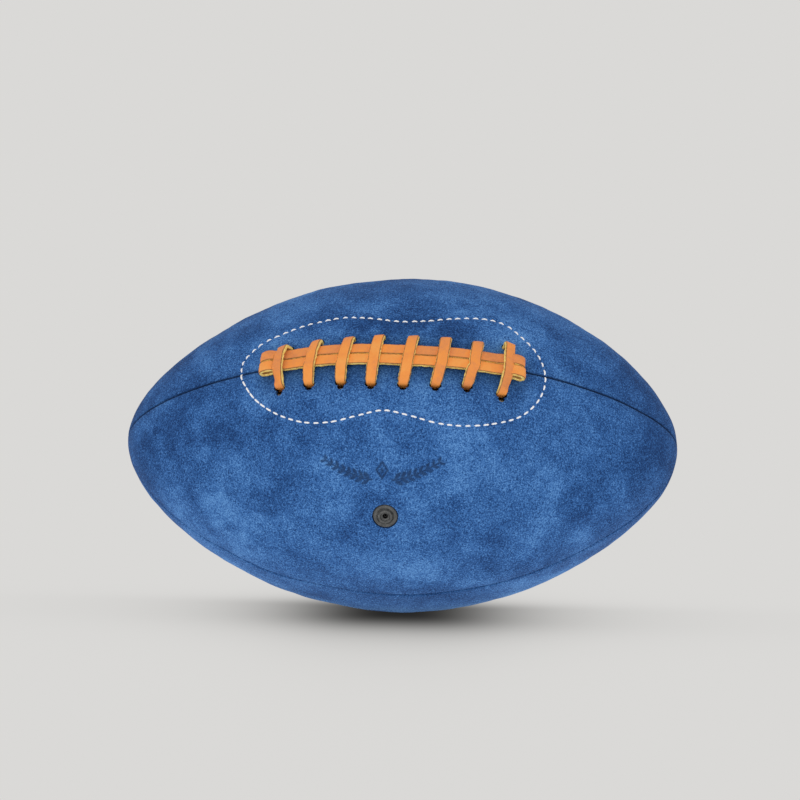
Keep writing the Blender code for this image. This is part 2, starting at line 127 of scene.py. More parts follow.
def lop(phi, theta):
    """How much fuller the case is here than its plain form."""
    return LOP * np.sin(2 * phi) * ((1 + np.sin(theta)) / 2) ** 3


def place(phi, theta, lift):
    x, r, nx, nr = profile(phi)
    radius = r + lop(phi, theta) + lift * nr
    parts = np.broadcast_arrays(x + lift * nx, -radius * np.cos(theta), radius * np.sin(theta))
    return np.stack(parts, -1)


def phi_at(x):
    return np.arcsin(np.clip(np.asarray(x, float) / HALF_LENGTH, -1, 1))


def lace_theta(x, across):
    return LACE_SEAM + across / skin_radius(phi_at(x))


def by_lace(x, across, lift):
    return place(phi_at(x), lace_theta(x, across), lift)


def outward(phi, theta):
    nx, nr = profile(phi)[2:]
    return np.stack(np.broadcast_arrays(nx, -nr * np.cos(theta), nr * np.sin(theta)), -1)


def wrap(angle):
    return (angle + math.pi) % (2 * math.pi) - math.pi


def unit(v):
    return v / np.maximum(np.linalg.norm(v, axis=-1, keepdims=True), 1e-12)


def bell(d, width):
    return np.exp(-(d / width) ** 2)


def ramp(v, low, high):
    t = np.clip((v - low) / (high - low), 0, 1)
    return t * t * (3 - 2 * t)


def ripple(points, wavelength, seed, waves=28):
    """Smooth seeded noise with a spread of about one."""
    draw = np.random.default_rng(seed)
    way = unit(draw.normal(size=(waves, 3))) * 2 * math.pi / wavelength
    way *= draw.uniform(0.65, 1.5, (waves, 1))
    return np.cos(points @ way.T + draw.uniform(0, 2 * math.pi, waves)).sum(-1) * (2 / waves) ** 0.5


def spline(points, step, closed=False):
    """A smooth line through points, with even spacing close to step."""
    p = np.asarray(points, float)
    if closed:
        p = np.concatenate([p[-1:], p, p[:2]])
    else:
        p = np.concatenate([2 * p[:1] - p[1:2], p, 2 * p[-1:] - p[-2:-1]])
    t = np.linspace(0, 1, 24, endpoint=False)[:, None]
    line = []
    for a, b, c, d in zip(p[:-3], p[1:-2], p[2:-1], p[3:]):
        line.append(0.5 * (2 * b + (c - a) * t + (2 * a - 5 * b + 4 * c - d) * t**2
                           + (3 * b - a - 3 * c + d) * t**3))
    line = np.concatenate(line + [p[-2:-1]])
    run = np.concatenate([[0], np.cumsum(np.linalg.norm(np.diff(line, axis=0), axis=1))])
    count = max(2, round(run[-1] / step))
    even = np.linspace(0, run[-1], count + 1)
    return np.stack([np.interp(even, run, line[:, k]) for k in range(line.shape[1])], 1)


# ---------- stitching ----------

def ring_stitches():
    """The ring's line, and the places along each stitch from hole to hole, all as (along, across)."""
    line = spline(np.array(RING) * MM, RING_STEP, closed=True)
    steps = len(line) - 1
    count = round(RING_STEP * steps / STITCH_PITCH)
    draw = np.random.default_rng(5)
    stitches = []
    for i in range(count):
        middle = (i + 0.5 + draw.uniform(-0.06, 0.06)) / count * steps
        x, across = line[int(middle)]
        # Longer stitches, with smaller gaps, at the lower left
        long = ramp(-x, 58 * MM, 70 * MM) * ramp(-across, -4 * MM, 4 * MM)
        reach = (0.31 + 0.13 * long + draw.uniform(-0.02, 0.02)) / count * steps
        spots = np.clip(np.linspace(middle - reach, middle + reach, STITCH_SPOTS), 0, steps)
        stitches.append(line[spots.astype(int)])
    return line, stitches


RING_LINE, STITCHES = ring_stitches()


def tree_of(points):
    tree = kdtree.KDTree(len(points))
    for i, (x, across) in enumerate(points):
        tree.insert((x, across, 0), i)
    tree.balance()
    return tree


RING_TREE = tree_of(RING_LINE)
HOLE_TREE = tree_of([s[k] for s in STITCHES for k in (0, -1)])


def distance_to(tree, x, across, near):
    """Distance to the tree's nearest point, for the points where near holds."""
    found = np.full(x.shape, 1.0)
    for i in np.flatnonzero(near):
        found.flat[i] = tree.find((x.flat[i], across.flat[i], 0))[2]
    return found


# ---------- pressed emblem: two leafy sprigs and a small lozenge ----------

EMBLEM_X = -5.0 * MM
EMBLEM_THETA = math.radians(1.6)
EMBLEM_REACH = (36 * MM, 0.22)  # along the ball and in radians round it
EMBLEM_SCALE = 1.1
# One sprig's stem, in the emblem's own units of about a millimetre
STEM_START = 4.0
STEM_RUN = 24.0
STEM_END = 27.0
STEM_FOOT = -5.6
STEM_RISE = 9.5
STEM_CURVE = 1.6
LEAF_PAIRS = 8
LEAF_TURNS = (0.75, -0.62)  # how far the upper and the lower leaf turn from the stem, in radians
LEAF_REACH = 2.6
LEAF_LENGTH = 2.3


def emblem_near(x, theta):
    return (np.abs(x - EMBLEM_X) < EMBLEM_REACH[0]) & (np.abs(theta - EMBLEM_THETA) < EMBLEM_REACH[1])


def emblem(x, theta):
    """How deep the emblem is pressed here, from 0 to 1."""
    side = np.abs(x - EMBLEM_X) / MM / EMBLEM_SCALE
    v = (theta - EMBLEM_THETA) * RADIUS / MM / EMBLEM_SCALE
    stem = STEM_FOOT + STEM_RISE * (np.clip(side - STEM_START, 0, 40) / STEM_RUN) ** STEM_CURVE
    ends = ramp(side, STEM_START, STEM_START + 0.6) * (1 - ramp(side, STEM_END, STEM_END + 0.6))
    mask = (1 - ramp(np.abs(v - stem), 0.25, 0.6)) * ends
    for k in range(LEAF_PAIRS):
        at = 5.5 + 2.9 * k
        share = (at - STEM_START) / STEM_RUN
        high = STEM_FOOT + STEM_RISE * share**STEM_CURVE
        slope = math.atan(STEM_RISE * STEM_CURVE / STEM_RUN * share ** (STEM_CURVE - 1))
        size = 1 - 0.045 * k
        for turn in LEAF_TURNS:
            cos, sin = math.cos(slope + turn), math.sin(slope + turn)
            right, up = side - at - LEAF_REACH * size * cos, v - high - LEAF_REACH * size * sin
            along, over = right * cos + up * sin, up * cos - right * sin
            leaf = 1 - (along / (LEAF_LENGTH * size)) ** 2 - np.abs(over) / size
            mask = np.maximum(mask, ramp(leaf, -0.12, 0.3))
    lozenge = side / 3.0 + np.abs(v + 1.0) / 4.4
    mask = np.maximum(mask, 1 - ramp(np.abs(lozenge - 0.85), 0.10, 0.26))
    return np.maximum(mask, 1 - ramp(lozenge, 0.2, 0.45))


# ---------- relief of the suede ----------

UNEVENNESS = ((0.24, 62, 1), (0.11, 24, 2), (0.035, 8, 3))  # (height mm, wavelength mm, seed)
EMBLEM_DEPTH = 0.45 * MM


def lace_relief(x, across):
    """The trough under the lacing, the dips at its holes and the swells between the lower holes."""
    laced = ramp(78 * MM - np.abs(x - LACE_MIDDLE), 0, 14 * MM)
    lift = -0.55 * MM * bell(across, 11 * MM) * laced
    for hx, hs in LOW_HOLES + HIGH_HOLES:
        lift -= 0.75 * MM * np.exp(-((x / MM - hx) / 4.6) ** 2 - ((across / MM - hs) / 2.4) ** 2)
    for (left, _), (right, _) in zip(LOW_HOLES, LOW_HOLES[1:]):
        middle = (left + right) / 2
        lift += 0.28 * MM * np.exp(-((x / MM - middle) / 4.2) ** 2 - ((across / MM + 13) / 5.5) ** 2)
    return lift


def stitch_relief(x, across):
    """The groove that the stitching pulls, the swell on both its sides and the stitch holes."""
    near = (np.abs(x) < 92 * MM) & (np.abs(across) < 44 * MM)
    d = distance_to(RING_TREE, x, across, near)
    lift = 0.16 * MM * bell(d - 2.4 * MM, 1.3 * MM) - 0.34 * MM * bell(d, 0.95 * MM)
    d = distance_to(HOLE_TREE, x, across, near & (d < 4 * MM))
    return lift - 0.35 * MM * bell(d, 0.75 * MM)


def relief(phi, theta):
    """How far the suede rises or dips from the plain form."""
    phi, theta = np.broadcast_arrays(phi, theta)
    plain = place(phi, theta, 0.0)
    x = plain[..., 0]
    theta = wrap(theta)
    across = wrap(theta - LACE_SEAM) * skin_radius(phi)
    lift = sum(height * MM * ripple(plain, wavelength * MM, seed) for height, wavelength, seed in UNEVENNESS)
    lift += lace_relief(x, across) + stitch_relief(x, across)
    valve = np.hypot(x - VALVE_X, (theta - VALVE_THETA) * RADIUS)
    lift -= 0.30 * MM * bell(valve - VALVE_RADIUS, 1.2 * MM)
    marked = emblem_near(x, theta)
    if marked.any():
        lift[marked] -= EMBLEM_DEPTH * emblem(x[marked], theta[marked])
    return lift


def skin(x, across, lift):
    """A point over the suede itself, given near the lacing."""
    phi, theta = phi_at(x), lace_theta(x, across)
    return place(phi, theta, relief(phi, theta) + lift)


# ---------- mesh helpers ----------

def add_object(name, points, faces, material, slots=None, smooth=True, sharp=45):
    mesh = bpy.data.meshes.new(name)
    mesh.from_pydata([tuple(p) for p in np.asarray(points).reshape(-1, 3)], [], faces)
    item = bpy.data.objects.new(name, mesh)
    bpy.context.scene.collection.objects.link(item)
    for mat in material if isinstance(material, (list, tuple)) else [material]:
        mesh.materials.append(mat)
    if slots is not None:
        mesh.polygons.foreach_set("material_index", slots)
    finish_shading(mesh, smooth, sharp)
    return item


def finish_shading(mesh, smooth=True, sharp=45):
    mesh.polygons.foreach_set("use_smooth", [smooth] * len(mesh.polygons))
    if smooth:
        mesh.set_sharp_from_angle(angle=math.radians(sharp))
    mesh.update()


def face_outwards(mesh):
    work = bmesh.new()
    work.from_mesh(mesh)
    bmesh.ops.recalc_face_normals(work, faces=work.faces)
    if work.calc_volume(signed=True) < 0:
        bmesh.ops.reverse_faces(work, faces=work.faces)
    work.to_mesh(mesh)
    work.free()


def grid_faces(rows, columns, first=0, flip=False, closed=False):
    a = (np.arange(rows - 1)[:, None] * columns + np.arange(columns if closed else columns - 1)).ravel()
    b = a + 1
    if closed:
        b = np.where(b % columns == 0, b - columns, b)
    quads = np.stack([a, b, b + columns, a + columns], 1) + first
    return (quads[:, ::-1] if flip else quads).tolist()


def cut(item, cutters):
    """Take the cutters out of the item, and keep the result as plain mesh."""
    for cutter in cutters:
        boolean = item.modifiers.new("cut", "BOOLEAN")
        boolean.operation = "DIFFERENCE"
        boolean.solver = "MANIFOLD"
        boolean.object = cutter
    graph = bpy.context.evaluated_depsgraph_get()
    graph.update()
    result = bpy.data.meshes.new_from_object(item.evaluated_get(graph))
    item.modifiers.clear()
    old = item.data
    item.data = result
    bpy.data.meshes.remove(old)
    finish_shading(result)


def prism(name, outline, centre, out, side, low, high):
    """An upright cutter with a flat outline."""
    other = np.cross(out, side)
    points = [centre + a * side + b * other + h * out for h in (low, high) for a, b in outline]
    n = len(outline)
    faces = [(k, (k + 1) % n, n + (k + 1) % n, n + k) for k in range(n)]
    faces += [tuple(range(n))[::-1], tuple(range(n, 2 * n))]
    item = add_object(name, points, faces, [], smooth=False)
    face_outwards(item.data)
    return item


def stadium(length, width, sides=10):
    r, reach = width / 2, (length - width) / 2
    turns = [math.pi * k / sides - math.pi / 2 for k in range(sides + 1)]
    right = [(reach + r * math.cos(t), r * math.sin(t)) for t in turns]
    return right + [(-a, -b) for a, b in right]


def hole_cutters(holes, stretch=(0,) * BARS):
    """Cutters for the lace holes, each stretched open downwards by its mm of stretch."""
    made = []
    for (x, across), more in zip(holes, stretch):
        phi, theta = phi_at(x * MM), lace_theta(x * MM, across * MM)
        out = outward(phi, theta)
        side = unit(np.array([1.0, 0, 0]) - out * out[0])
        outline = stadium(*HOLE_SIZE)
        if more:
            dip = [(u * MM, -HOLE_SIZE[1] / 2 - more * share * MM) for u, share in STRETCH_SHAPE]
            outline = outline[-1:] + dip + outline[:-1]
        made.append(prism("cutter", outline, place(phi, theta, 0.0), out, side, -8 * MM, 6 * MM))
    return made


def valve_cutter():
    radius = VALVE_RADIUS + VALVE_CLEARANCE
    phi = phi_at(VALVE_X)
    out = outward(phi, VALVE_THETA)
    side = unit(np.array([1.0, 0, 0]) - out * out[0])
    turns = np.linspace(0, 2 * math.pi, ROUND_SIDES + 1)[:-1]
    outline = [(radius * math.cos(a), radius * math.sin(a)) for a in turns]
    return prism("cutter", outline, place(phi, VALVE_THETA, 0.0), out, side, -6 * MM, 6 * MM)


def remove(items):
    for item in items:
        mesh = item.data
        bpy.data.objects.remove(item, do_unlink=True)
        bpy.data.meshes.remove(mesh)


# ---------- materials ----------

class Paint:
    """A small builder of shader nodes round one Principled shader."""

    def __init__(self, name, roughness=0.8, **values):
        self.material = bpy.data.materials.new(name)
        self.material.use_nodes = True
        self.tree = self.material.node_tree
        self.shader = self.tree.nodes["Principled BSDF"]
        self.shader.inputs["Roughness"].default_value = roughness
        for key, value in values.items():
            self.shader.inputs[key.replace("_", " ")].default_value = value
        self.where = self.tree.nodes.new("ShaderNodeTexCoord").outputs["Object"]

    def node(self, kind, inputs=(), **settings):
        made = self.tree.nodes.new("ShaderNode" + kind)
        for key, value in settings.items():
            setattr(made, key, value)
        for key, value in dict(inputs).items():
            if isinstance(value, bpy.types.NodeSocket):
                self.tree.links.new(value, made.inputs[key])
            else:
                made.inputs[key].default_value = value
        return made

    def stretch(self, x, y, z):
        return self.node("Mapping", {"Vector": self.where, "Scale": (x, y, z)}).outputs[0]

    def noise(self, scale, detail=2.0, rough=0.5, distortion=0.0, where=None):
        inputs = {"Vector": where or self.where, "Scale": scale, "Detail": detail,
                  "Roughness": rough, "Distortion": distortion}
        return self.node("TexNoise", inputs).outputs["Fac"]

    def math(self, operation, a, b=0.0, clamp=False):
        return self.node("Math", {0: a, 1: b}, operation=operation, use_clamp=clamp).outputs[0]

    def blend(self, pairs, base=0.0):
        """The base plus each signal, taken from its middle, times its weight."""
        total = base
        for signal, weight in pairs:
            part = self.math("MULTIPLY_ADD", signal, weight)
            part.node.inputs[2].default_value = -0.5 * weight
            total = self.math("ADD", part, total)
        return total

    def span(self, value, low, high, to_low=0.0, to_high=1.0):
        inputs = {"Value": value, "From Min": low, "From Max": high, "To Min": to_low, "To Max": to_high}
        return self.node("MapRange", inputs, interpolation_type="SMOOTHSTEP").outputs[0]

    def ramp(self, value, stops):
        made = self.node("ValToRGB", {"Fac": value})
        elements = made.color_ramp.elements
        while len(elements) < len(stops):
            elements.new(0.5)
        for element, (at, colour) in zip(elements, stops):
            element.position = at
            element.color = (*colour, 1.0)
        return made.outputs[0]

    def mix(self, factor, a, b, how="MIX"):
        made = self.node("Mix", data_type="RGBA", blend_type=how)
        for at, value in ((0, factor), (6, a), (7, b)):
            if isinstance(value, bpy.types.NodeSocket):
                self.tree.links.new(value, made.inputs[at])
            elif at == 0:
                made.inputs[0].default_value = value
            else:
                made.inputs[at].default_value = (*value, 1.0)
        return made.outputs[2]

    def attribute(self, name):
        return self.node("Attribute", attribute_name=name).outputs["Fac"]

    def finish(self, colour, bumps=(), roughness=None):
        self.tree.links.new(colour, self.shader.inputs["Base Color"])
        if roughness is not None:
            self.tree.links.new(roughness, self.shader.inputs["Roughness"])
        normal = None
        for height, strength, distance in bumps:
            inputs = {"Height": height, "Strength": strength, "Distance": distance}
            if normal is not None:
                inputs["Normal"] = normal
            normal = self.node("Bump", inputs).outputs[0]
        if normal is not None:
            self.tree.links.new(normal, self.shader.inputs["Normal"])
        return self.material


def linear(r, g, b):
    """Linear colour from display values of 0 to 255."""
    made = []
    for c in (r / 255, g / 255, b / 255):
        made.append(c / 12.92 if c <= 0.04045 else ((c + 0.055) / 1.055) ** 2.4)
    return tuple(made)


def suede_material():
    p = Paint("blue_suede", 0.92, Sheen_Weight=0.02, Sheen_Roughness=0.45,
              Sheen_Tint=(0.62, 0.78, 1.0, 1.0), Specular_IOR_Level=0.18)
    broad = p.noise(30, 3, 0.55, 0.6)
    patches = p.noise(92, 4, 0.6, 1.4)
    streaks = p.noise(70, 3, 0.6, 0.8, p.stretch(0.55, 1.7, 1.7))
    clumps = p.noise(420, 3, 0.6)
    grain = p.noise(1250, 3, 0.7)
    fibre = p.noise(3000, 2, 0.6)
    # The pile's own tone, together with painted light and shade
    nap_and_painted_light = p.attribute("nap_and_painted_light")
    tone = p.blend([(broad, 0.85), (patches, 0.30), (streaks, 0.22), (clumps, 0.28),
                    (grain, 2.5), (fibre, 1.5)], p.math("ADD", nap_and_painted_light, 0.5))
    colour = p.ramp(tone, [(0.0, linear(20, 54, 105)), (0.28, linear(37, 80, 139)),
                           (0.5, linear(53, 102, 169)), (0.74, linear(72, 126, 195)),
                           (1.0, linear(106, 160, 222))])
    shade = p.attribute("shade")
    colour = p.mix(shade, colour, linear(20, 42, 78))
    pressed = p.attribute("pressed")
    worn = p.blend([(clumps, 0.8), (grain, 0.6)], 0.74)
    colour = p.mix(p.math("MULTIPLY", pressed, worn, clamp=True), colour, linear(34, 58, 96))
    height = p.blend([(clumps, 0.5), (grain, 1.0), (fibre, 0.6)], 0.5)
    return p.finish(colour, [(patches, 0.25, 0.4 * MM), (height, 0.55, 0.16 * MM)])


def face_leather():
    """The finished side of the lace."""
    p = Paint("lace_face", 0.5, Specular_IOR_Level=0.35)
    broad = p.noise(60, 3, 0.6, 0.5)
    mottle = p.noise(330, 4, 0.6, 0.8)
    pores = p.noise(2600, 2, 0.6)
    creases = p.noise(520, 3, 0.65, 1.2, p.stretch(3.0, 0.8, 0.8))
    # The tone attribute adds the lace pieces' painted light and shade: lighter on the lower strip, darker on
    # the upper strip and higher up the cross lace
    tone = p.blend([(broad, 0.9), (mottle, 0.45), (pores, 0.28), (creases, 0.22)],
                   p.math("ADD", p.attribute("tone"), 0.5))
    colour = p.ramp(tone, [(0.0, linear(196, 114, 68)), (0.35, linear(237, 148, 84)),
                           (0.56, linear(255, 158, 72)), (1.0, linear(255, 184, 98))])
    rough = p.span(mottle, 0.3, 0.7, 0.42, 0.62)
    return p.finish(colour, [(creases, 0.35, 0.10 * MM), (pores, 0.3, 0.05 * MM)], rough)


def raw_edge():
    """The lace's cut edge: pale yellow fibre with dark flecks."""
    p = Paint("lace_cut_edge", 0.85, Specular_IOR_Level=0.2)
    fleck = p.noise(950, 3, 0.7)
    fibre = p.noise(2400, 2, 0.6)
    tone = p.blend([(fleck, 1.5), (fibre, 0.8)], 0.62)
    colour = p.ramp(tone, [(0.0, linear(110, 66, 20)), (0.25, linear(226, 162, 66)),
                           (0.52, linear(255, 214, 112)), (1.0, linear(255, 242, 166))])
    return p.finish(colour, [(p.blend([(fleck, 1.0), (fibre, 0.6)], 0.5), 0.7, 0.22 * MM)])


def burnished_edge():
    """The darker line where the finished side meets the cut."""
    p = Paint("lace_edge_line", 0.6)
    tone = p.blend([(p.noise(900, 3, 0.6), 1.2)], 0.5)
    colour = p.ramp(tone, [(0.0, linear(110, 60, 22)), (1.0, linear(214, 146, 76))])
    return p.finish(colour, [(tone, 0.3, 0.08 * MM)])


def flesh_side(name="lace_flesh_side", low=(150, 100, 52), high=(220, 172, 104)):
    """Unfinished leather: the lace's flesh side, the facings and the tongue."""
    p = Paint(name, 0.95, Specular_IOR_Level=0.15, Sheen_Weight=0.1)
    fuzz = p.noise(1500, 3, 0.7)
    mottle = p.noise(240, 3, 0.6)
    tone = p.blend([(fuzz, 0.8), (mottle, 0.9)], 0.5)
    return p.finish(p.ramp(tone, [(0.0, linear(*low)), (1.0, linear(*high))]), [(fuzz, 0.6, 0.15 * MM)])


def thread_material():
    # Painted light: the thread glows faintly white through a small emission, so that it stays bright
    p = Paint("white_thread", 0.75, Sheen_Weight=0.15, Emission_Color=(1.0, 1.0, 1.0, 1.0),
              Emission_Strength=0.10)
    fibre = p.noise(3600, 2, 0.6)
    soil = p.noise(160, 2, 0.5)
    tone = p.blend([(fibre, 0.9), (soil, 0.5)], 0.6)
    colour = p.ramp(tone, [(0.0, linear(232, 235, 238)), (1.0, linear(255, 255, 255))])
    return p.finish(colour, [(fibre, 0.4, 0.06 * MM)])


def cotton_material():
    """Woven cotton backing cloth."""
    p = Paint("lining_cotton", 0.95, Sheen_Weight=0.15, Specular_IOR_Level=0.15)
    wave = {"Vector": p.where, "Scale": 190.0, "Distortion": 0.6, "Detail": 1.0}
    yarns = [p.node("TexWave", wave, bands_direction=way).outputs["Fac"] for way in ("X", "Z")]
    weave = p.math("MULTIPLY", *yarns)
    slub = p.noise(260, 3, 0.6)
    tone = p.blend([(weave, 0.7), (slub, 0.5)], 0.6)
    colour = p.ramp(tone, [(0.0, linear(168, 156, 128)), (1.0, linear(226, 217, 194))])
    return p.finish(colour, [(weave, 0.6, 0.25 * MM)])


def rubber_material(name, low, high, roughness):
    p = Paint(name, roughness, Specular_IOR_Level=0.5)
    # Pale flecks where this noise runs high: mottled dust, and on the valve also painted glints
    dust_and_glints = p.noise(420, 4, 0.65)
    fine = p.noise(1800, 2, 0.6)
    tone = p.blend([(dust_and_glints, 1.1), (fine, 0.5)], 0.5)
    middle = [0.55 * a + 0.45 * b for a, b in zip(low, high)]
    colour = p.ramp(tone, [(0.1, linear(*low)), (0.62, linear(*middle)), (1.0, linear(*high))])
    rough = p.span(dust_and_glints, 0.3, 0.7, roughness - 0.1, roughness + 0.15)
    return p.finish(colour, [(dust_and_glints, 0.35, 0.18 * MM), (fine, 0.35, 0.06 * MM)], rough)


SUEDE = suede_material()
FACE, EDGE, LINE, FLESH = face_leather(), raw_edge(), burnished_edge(), flesh_side()
THREAD = thread_material()
COTTON = cotton_material()
# The facings are painted near-black as painted shade, so that the lace holes look dark
FACING = flesh_side("facing_leather", (26, 20, 15), (62, 47, 34))
TONGUE = flesh_side("tongue_leather", (92, 62, 36), (150, 108, 68))
VALVE = rubber_material("valve_rubber", (36, 38, 40), (150, 150, 148), 0.28)
CORE = rubber_material("valve_core_rubber", (10, 10, 11), (26, 26, 28), 0.5)
BLADDER = rubber_material("bladder_rubber", (28, 28, 30), (58, 58, 62), 0.5)


# ---------- suede panels ----------

COARSER = 4  # the inside of a panel has one row and one column for this many outside
# How a panel's edge turns in, as (mm from the seam's middle, mm deep), and how much of the
# suede's relief each of these places has
LIP = ((0.15, 3.6), (0.15, 1.9), (0.17, 1.25), (0.27, 0.85),
       (0.46, 0.52), (0.74, 0.26), (1.15, 0.09), (1.6, 0.02))
LIP_RELIEF = (0.0, 0.0, 0.1, 0.3, 0.5, 0.75, 0.9, 1.0)
LIP_WIDTH = 2.0  # mm from the seam's middle, as are the next two
OUTSIDE_FROM = 2.1
INSIDE_FROM = 2.3

# Places painted lighter or darker, partly where the suede's pile lies another way and partly painted light
# and shade, such as the painted shade along the upper stitching: (along mm, theta degrees, reach along, reach
# round, strength)
NAP_AND_LIGHT_PATCHES = ((-99, 22, 10, 9, 0.04), (-94, -24, 12, 8, 0.14), (-84, -40, 14, 8, 0.16), (-122, -34, 12, 10, 0.10),
       (-92, 8, 12, 8, -0.14), (-118, 16, 12, 9, -0.14), (-132, 9, 7, 5, -0.26), (-66, -15, 9, 7, -0.10),
       (55, -37, 22, 7, -0.06), (76, -43, 16, 6, -0.04), (40, -44, 20, 5, 0.04), (105, 4, 16, 9, -0.07),
       (0, 54, 20, 7, -0.20), (-24, 55, 14, 5, -0.14), (26, 53, 14, 5, -0.13), (10, -34, 20, 8, 0.09),
       (96, 44, 18, 9, -0.08), (60, 66, 20, 8, 0.06), (-50, 70, 22, 9, 0.04), (-80, 60, 18, 9, -0.05),
       (-30, 96, 30, 10, 0.10), (50, 110, 26, 9, -0.10), (-80, 118, 22, 9, 0.10), (20, 150, 30, 12, 0.10),
       (-60, 175, 26, 11, -0.10), (70, 190, 24, 10, 0.12), (0, 215, 28, 10, -0.10), (-90, 235, 20, 10, 0.10))
DARK_SPOT = (93.0, -17.5, 10.5, -0.13)  # along mm, theta degrees, reach, strength

# The four seams in turn: lace, upper rear, lower rear and base
SEAM_GAPS = (0.15 * MM, 0.10 * MM, 0.10 * MM, 0.08 * MM)  # half of each gap
SEAM_SHADE = (0.80, 0.50, 0.50, 0.34)


def paint_nap_and_light(co, x, theta, r):
    """How light or dark the suede is painted: the pile's own uneven tone, with painted light and shade over
    it. The x and r are in mm.
    """
    nap_and_painted_light = 0.05 * ripple(co, 34 * MM, 11) + 0.035 * ripple(co, 15 * MM, 12)
    # Painted shade: darker towards both ends, towards the top and along the base seam. Painted light: lighter
    # along the underside
    nap_and_painted_light -= 0.14 * ramp(np.abs(x), 96, 140) + 0.10 * ramp(x, 100, 138)
    nap_and_painted_light -= 0.03 * ramp(theta, math.radians(50), math.radians(75))
    nap_and_painted_light += 0.36 * bell(wrap(theta - math.radians(-82)), math.radians(15))
    nap_and_painted_light -= 0.09 * bell(wrap(theta - math.radians(-52)), math.radians(14))
    for along, turn, wide, high, strength in NAP_AND_LIGHT_PATCHES:
        round_ = wrap(theta - math.radians(turn)) * r / (high * 1.3)
        d2 = ((x - along) / wide) ** 2 + round_**2 + 0.35 * ripple(co, 13 * MM, 13)
        nap_and_painted_light += strength * (1 - ramp(d2, 0.25, 1.6))
    along, turn, reach, strength = DARK_SPOT
    d = np.hypot(x - along, wrap(theta - math.radians(turn)) * r)
    return nap_and_painted_light + strength * (1 - ramp(d, reach - 1.6, reach + 1.0))


def seam_and_lace_shade(x, theta, r):
    """How much the seams and the lacing darken the suede. The x and r are in mm."""
    across = wrap(theta - LACE_SEAM) * r
    laced = ramp(74 - np.abs(x - LACE_MIDDLE / MM), 0, 12)
    shade = 0.62 * bell(across + 0.5, 12.5) * laced
    for i, dark in enumerate(SEAM_SHADE):
        seam = wrap(theta - LACE_SEAM - i * QUARTER) * r
        shade = np.maximum(shade, dark * (1 - ramp(np.abs(seam), 0.3, 1.0)))
        shade = np.maximum(shade, 0.2 * dark * bell(seam, 3.2))
    phi = phi_at(x * MM)
    depth = (skin_radius(phi) + lop(phi, theta)) / MM - r
    return np.maximum(shade, 0.9 * ramp(depth, 1.2, 2.2) * (np.abs(x) < 120))


def shade_suede(mesh):
    """Write the suede's tone with its painted light and shade, the painted shade at the seams and the lacing,
    and where the emblem is pressed.
    """
    co = np.zeros(len(mesh.vertices) * 3)
    mesh.vertices.foreach_get("co", co)
    co = co.reshape(-1, 3)
    x = co[:, 0] / MM
    theta = np.arctan2(co[:, 2], -co[:, 1])
    r = np.hypot(co[:, 1], co[:, 2]) / MM
    looks = {"nap_and_painted_light": paint_nap_and_light(co, x, theta, r), "shade": seam_and_lace_shade(x, theta, r),
             "pressed": np.where(emblem_near(co[:, 0], theta), emblem(co[:, 0], theta), 0.0)}
    for name, values in looks.items():
        attribute = mesh.attributes.new(name, "FLOAT", "POINT")
        attribute.data.foreach_set("value", values.astype(np.float32))


def fine_rows(segments):
    """Angles along the ball for stretches of (from, to, step) in mm of surface length from the middle."""
    phi = np.linspace(-1.5655, 1.5655, 4001)
    points = place(phi, 0.0, 0.0)
    run = np.concatenate([[0], np.cumsum(np.linalg.norm(np.diff(points, axis=0), axis=1))])
    run = (run - run[-1] / 2) / MM
    at = []
    for low, high, step in segments:
        low, high = max(low, run[0]), min(high, run[-1])
        count = max(1, round((high - low) / step))
        at.append(np.linspace(low, high, count, endpoint=False))
    at = np.append(np.concatenate(at), min(segments[-1][1], run[-1]))
    spare = (len(at) - 1) % COARSER
    if spare:  # one more row or more, so that the coarser inside ends on the same row
        at = np.interp(np.linspace(0, 1, len(at) + COARSER - spare), np.linspace(0, 1, len(at)), at)
    return np.interp(at, run, phi)


def panel_faces(rows, columns, inner_rows, inner_columns):
    """The faces of a closed panel: outside, inside, both long edges and both ends."""
    first = rows * columns
    faces = grid_faces(rows, columns) + grid_faces(inner_rows, inner_columns, first, flip=True)
    for k in range(inner_rows - 1):
        near, far = COARSER * k * columns, first + k * inner_columns
        faces.append((*[near + j * columns for j in range(COARSER + 1)], far + inner_columns, far))
        near, far = near + columns - 1, far + inner_columns - 1
        faces.append((*[near + j * columns for j in range(COARSER, -1, -1)], far, far + inner_columns))
    faces.append((*range(columns - 1, -1, -1), *range(first, first + inner_columns)))
    last, inner_last = (rows - 1) * columns, first + (inner_rows - 1) * inner_columns
    faces.append((*range(last, last + columns),
                  *range(inner_last + inner_columns - 1, inner_last - 1, -1)))
    return faces


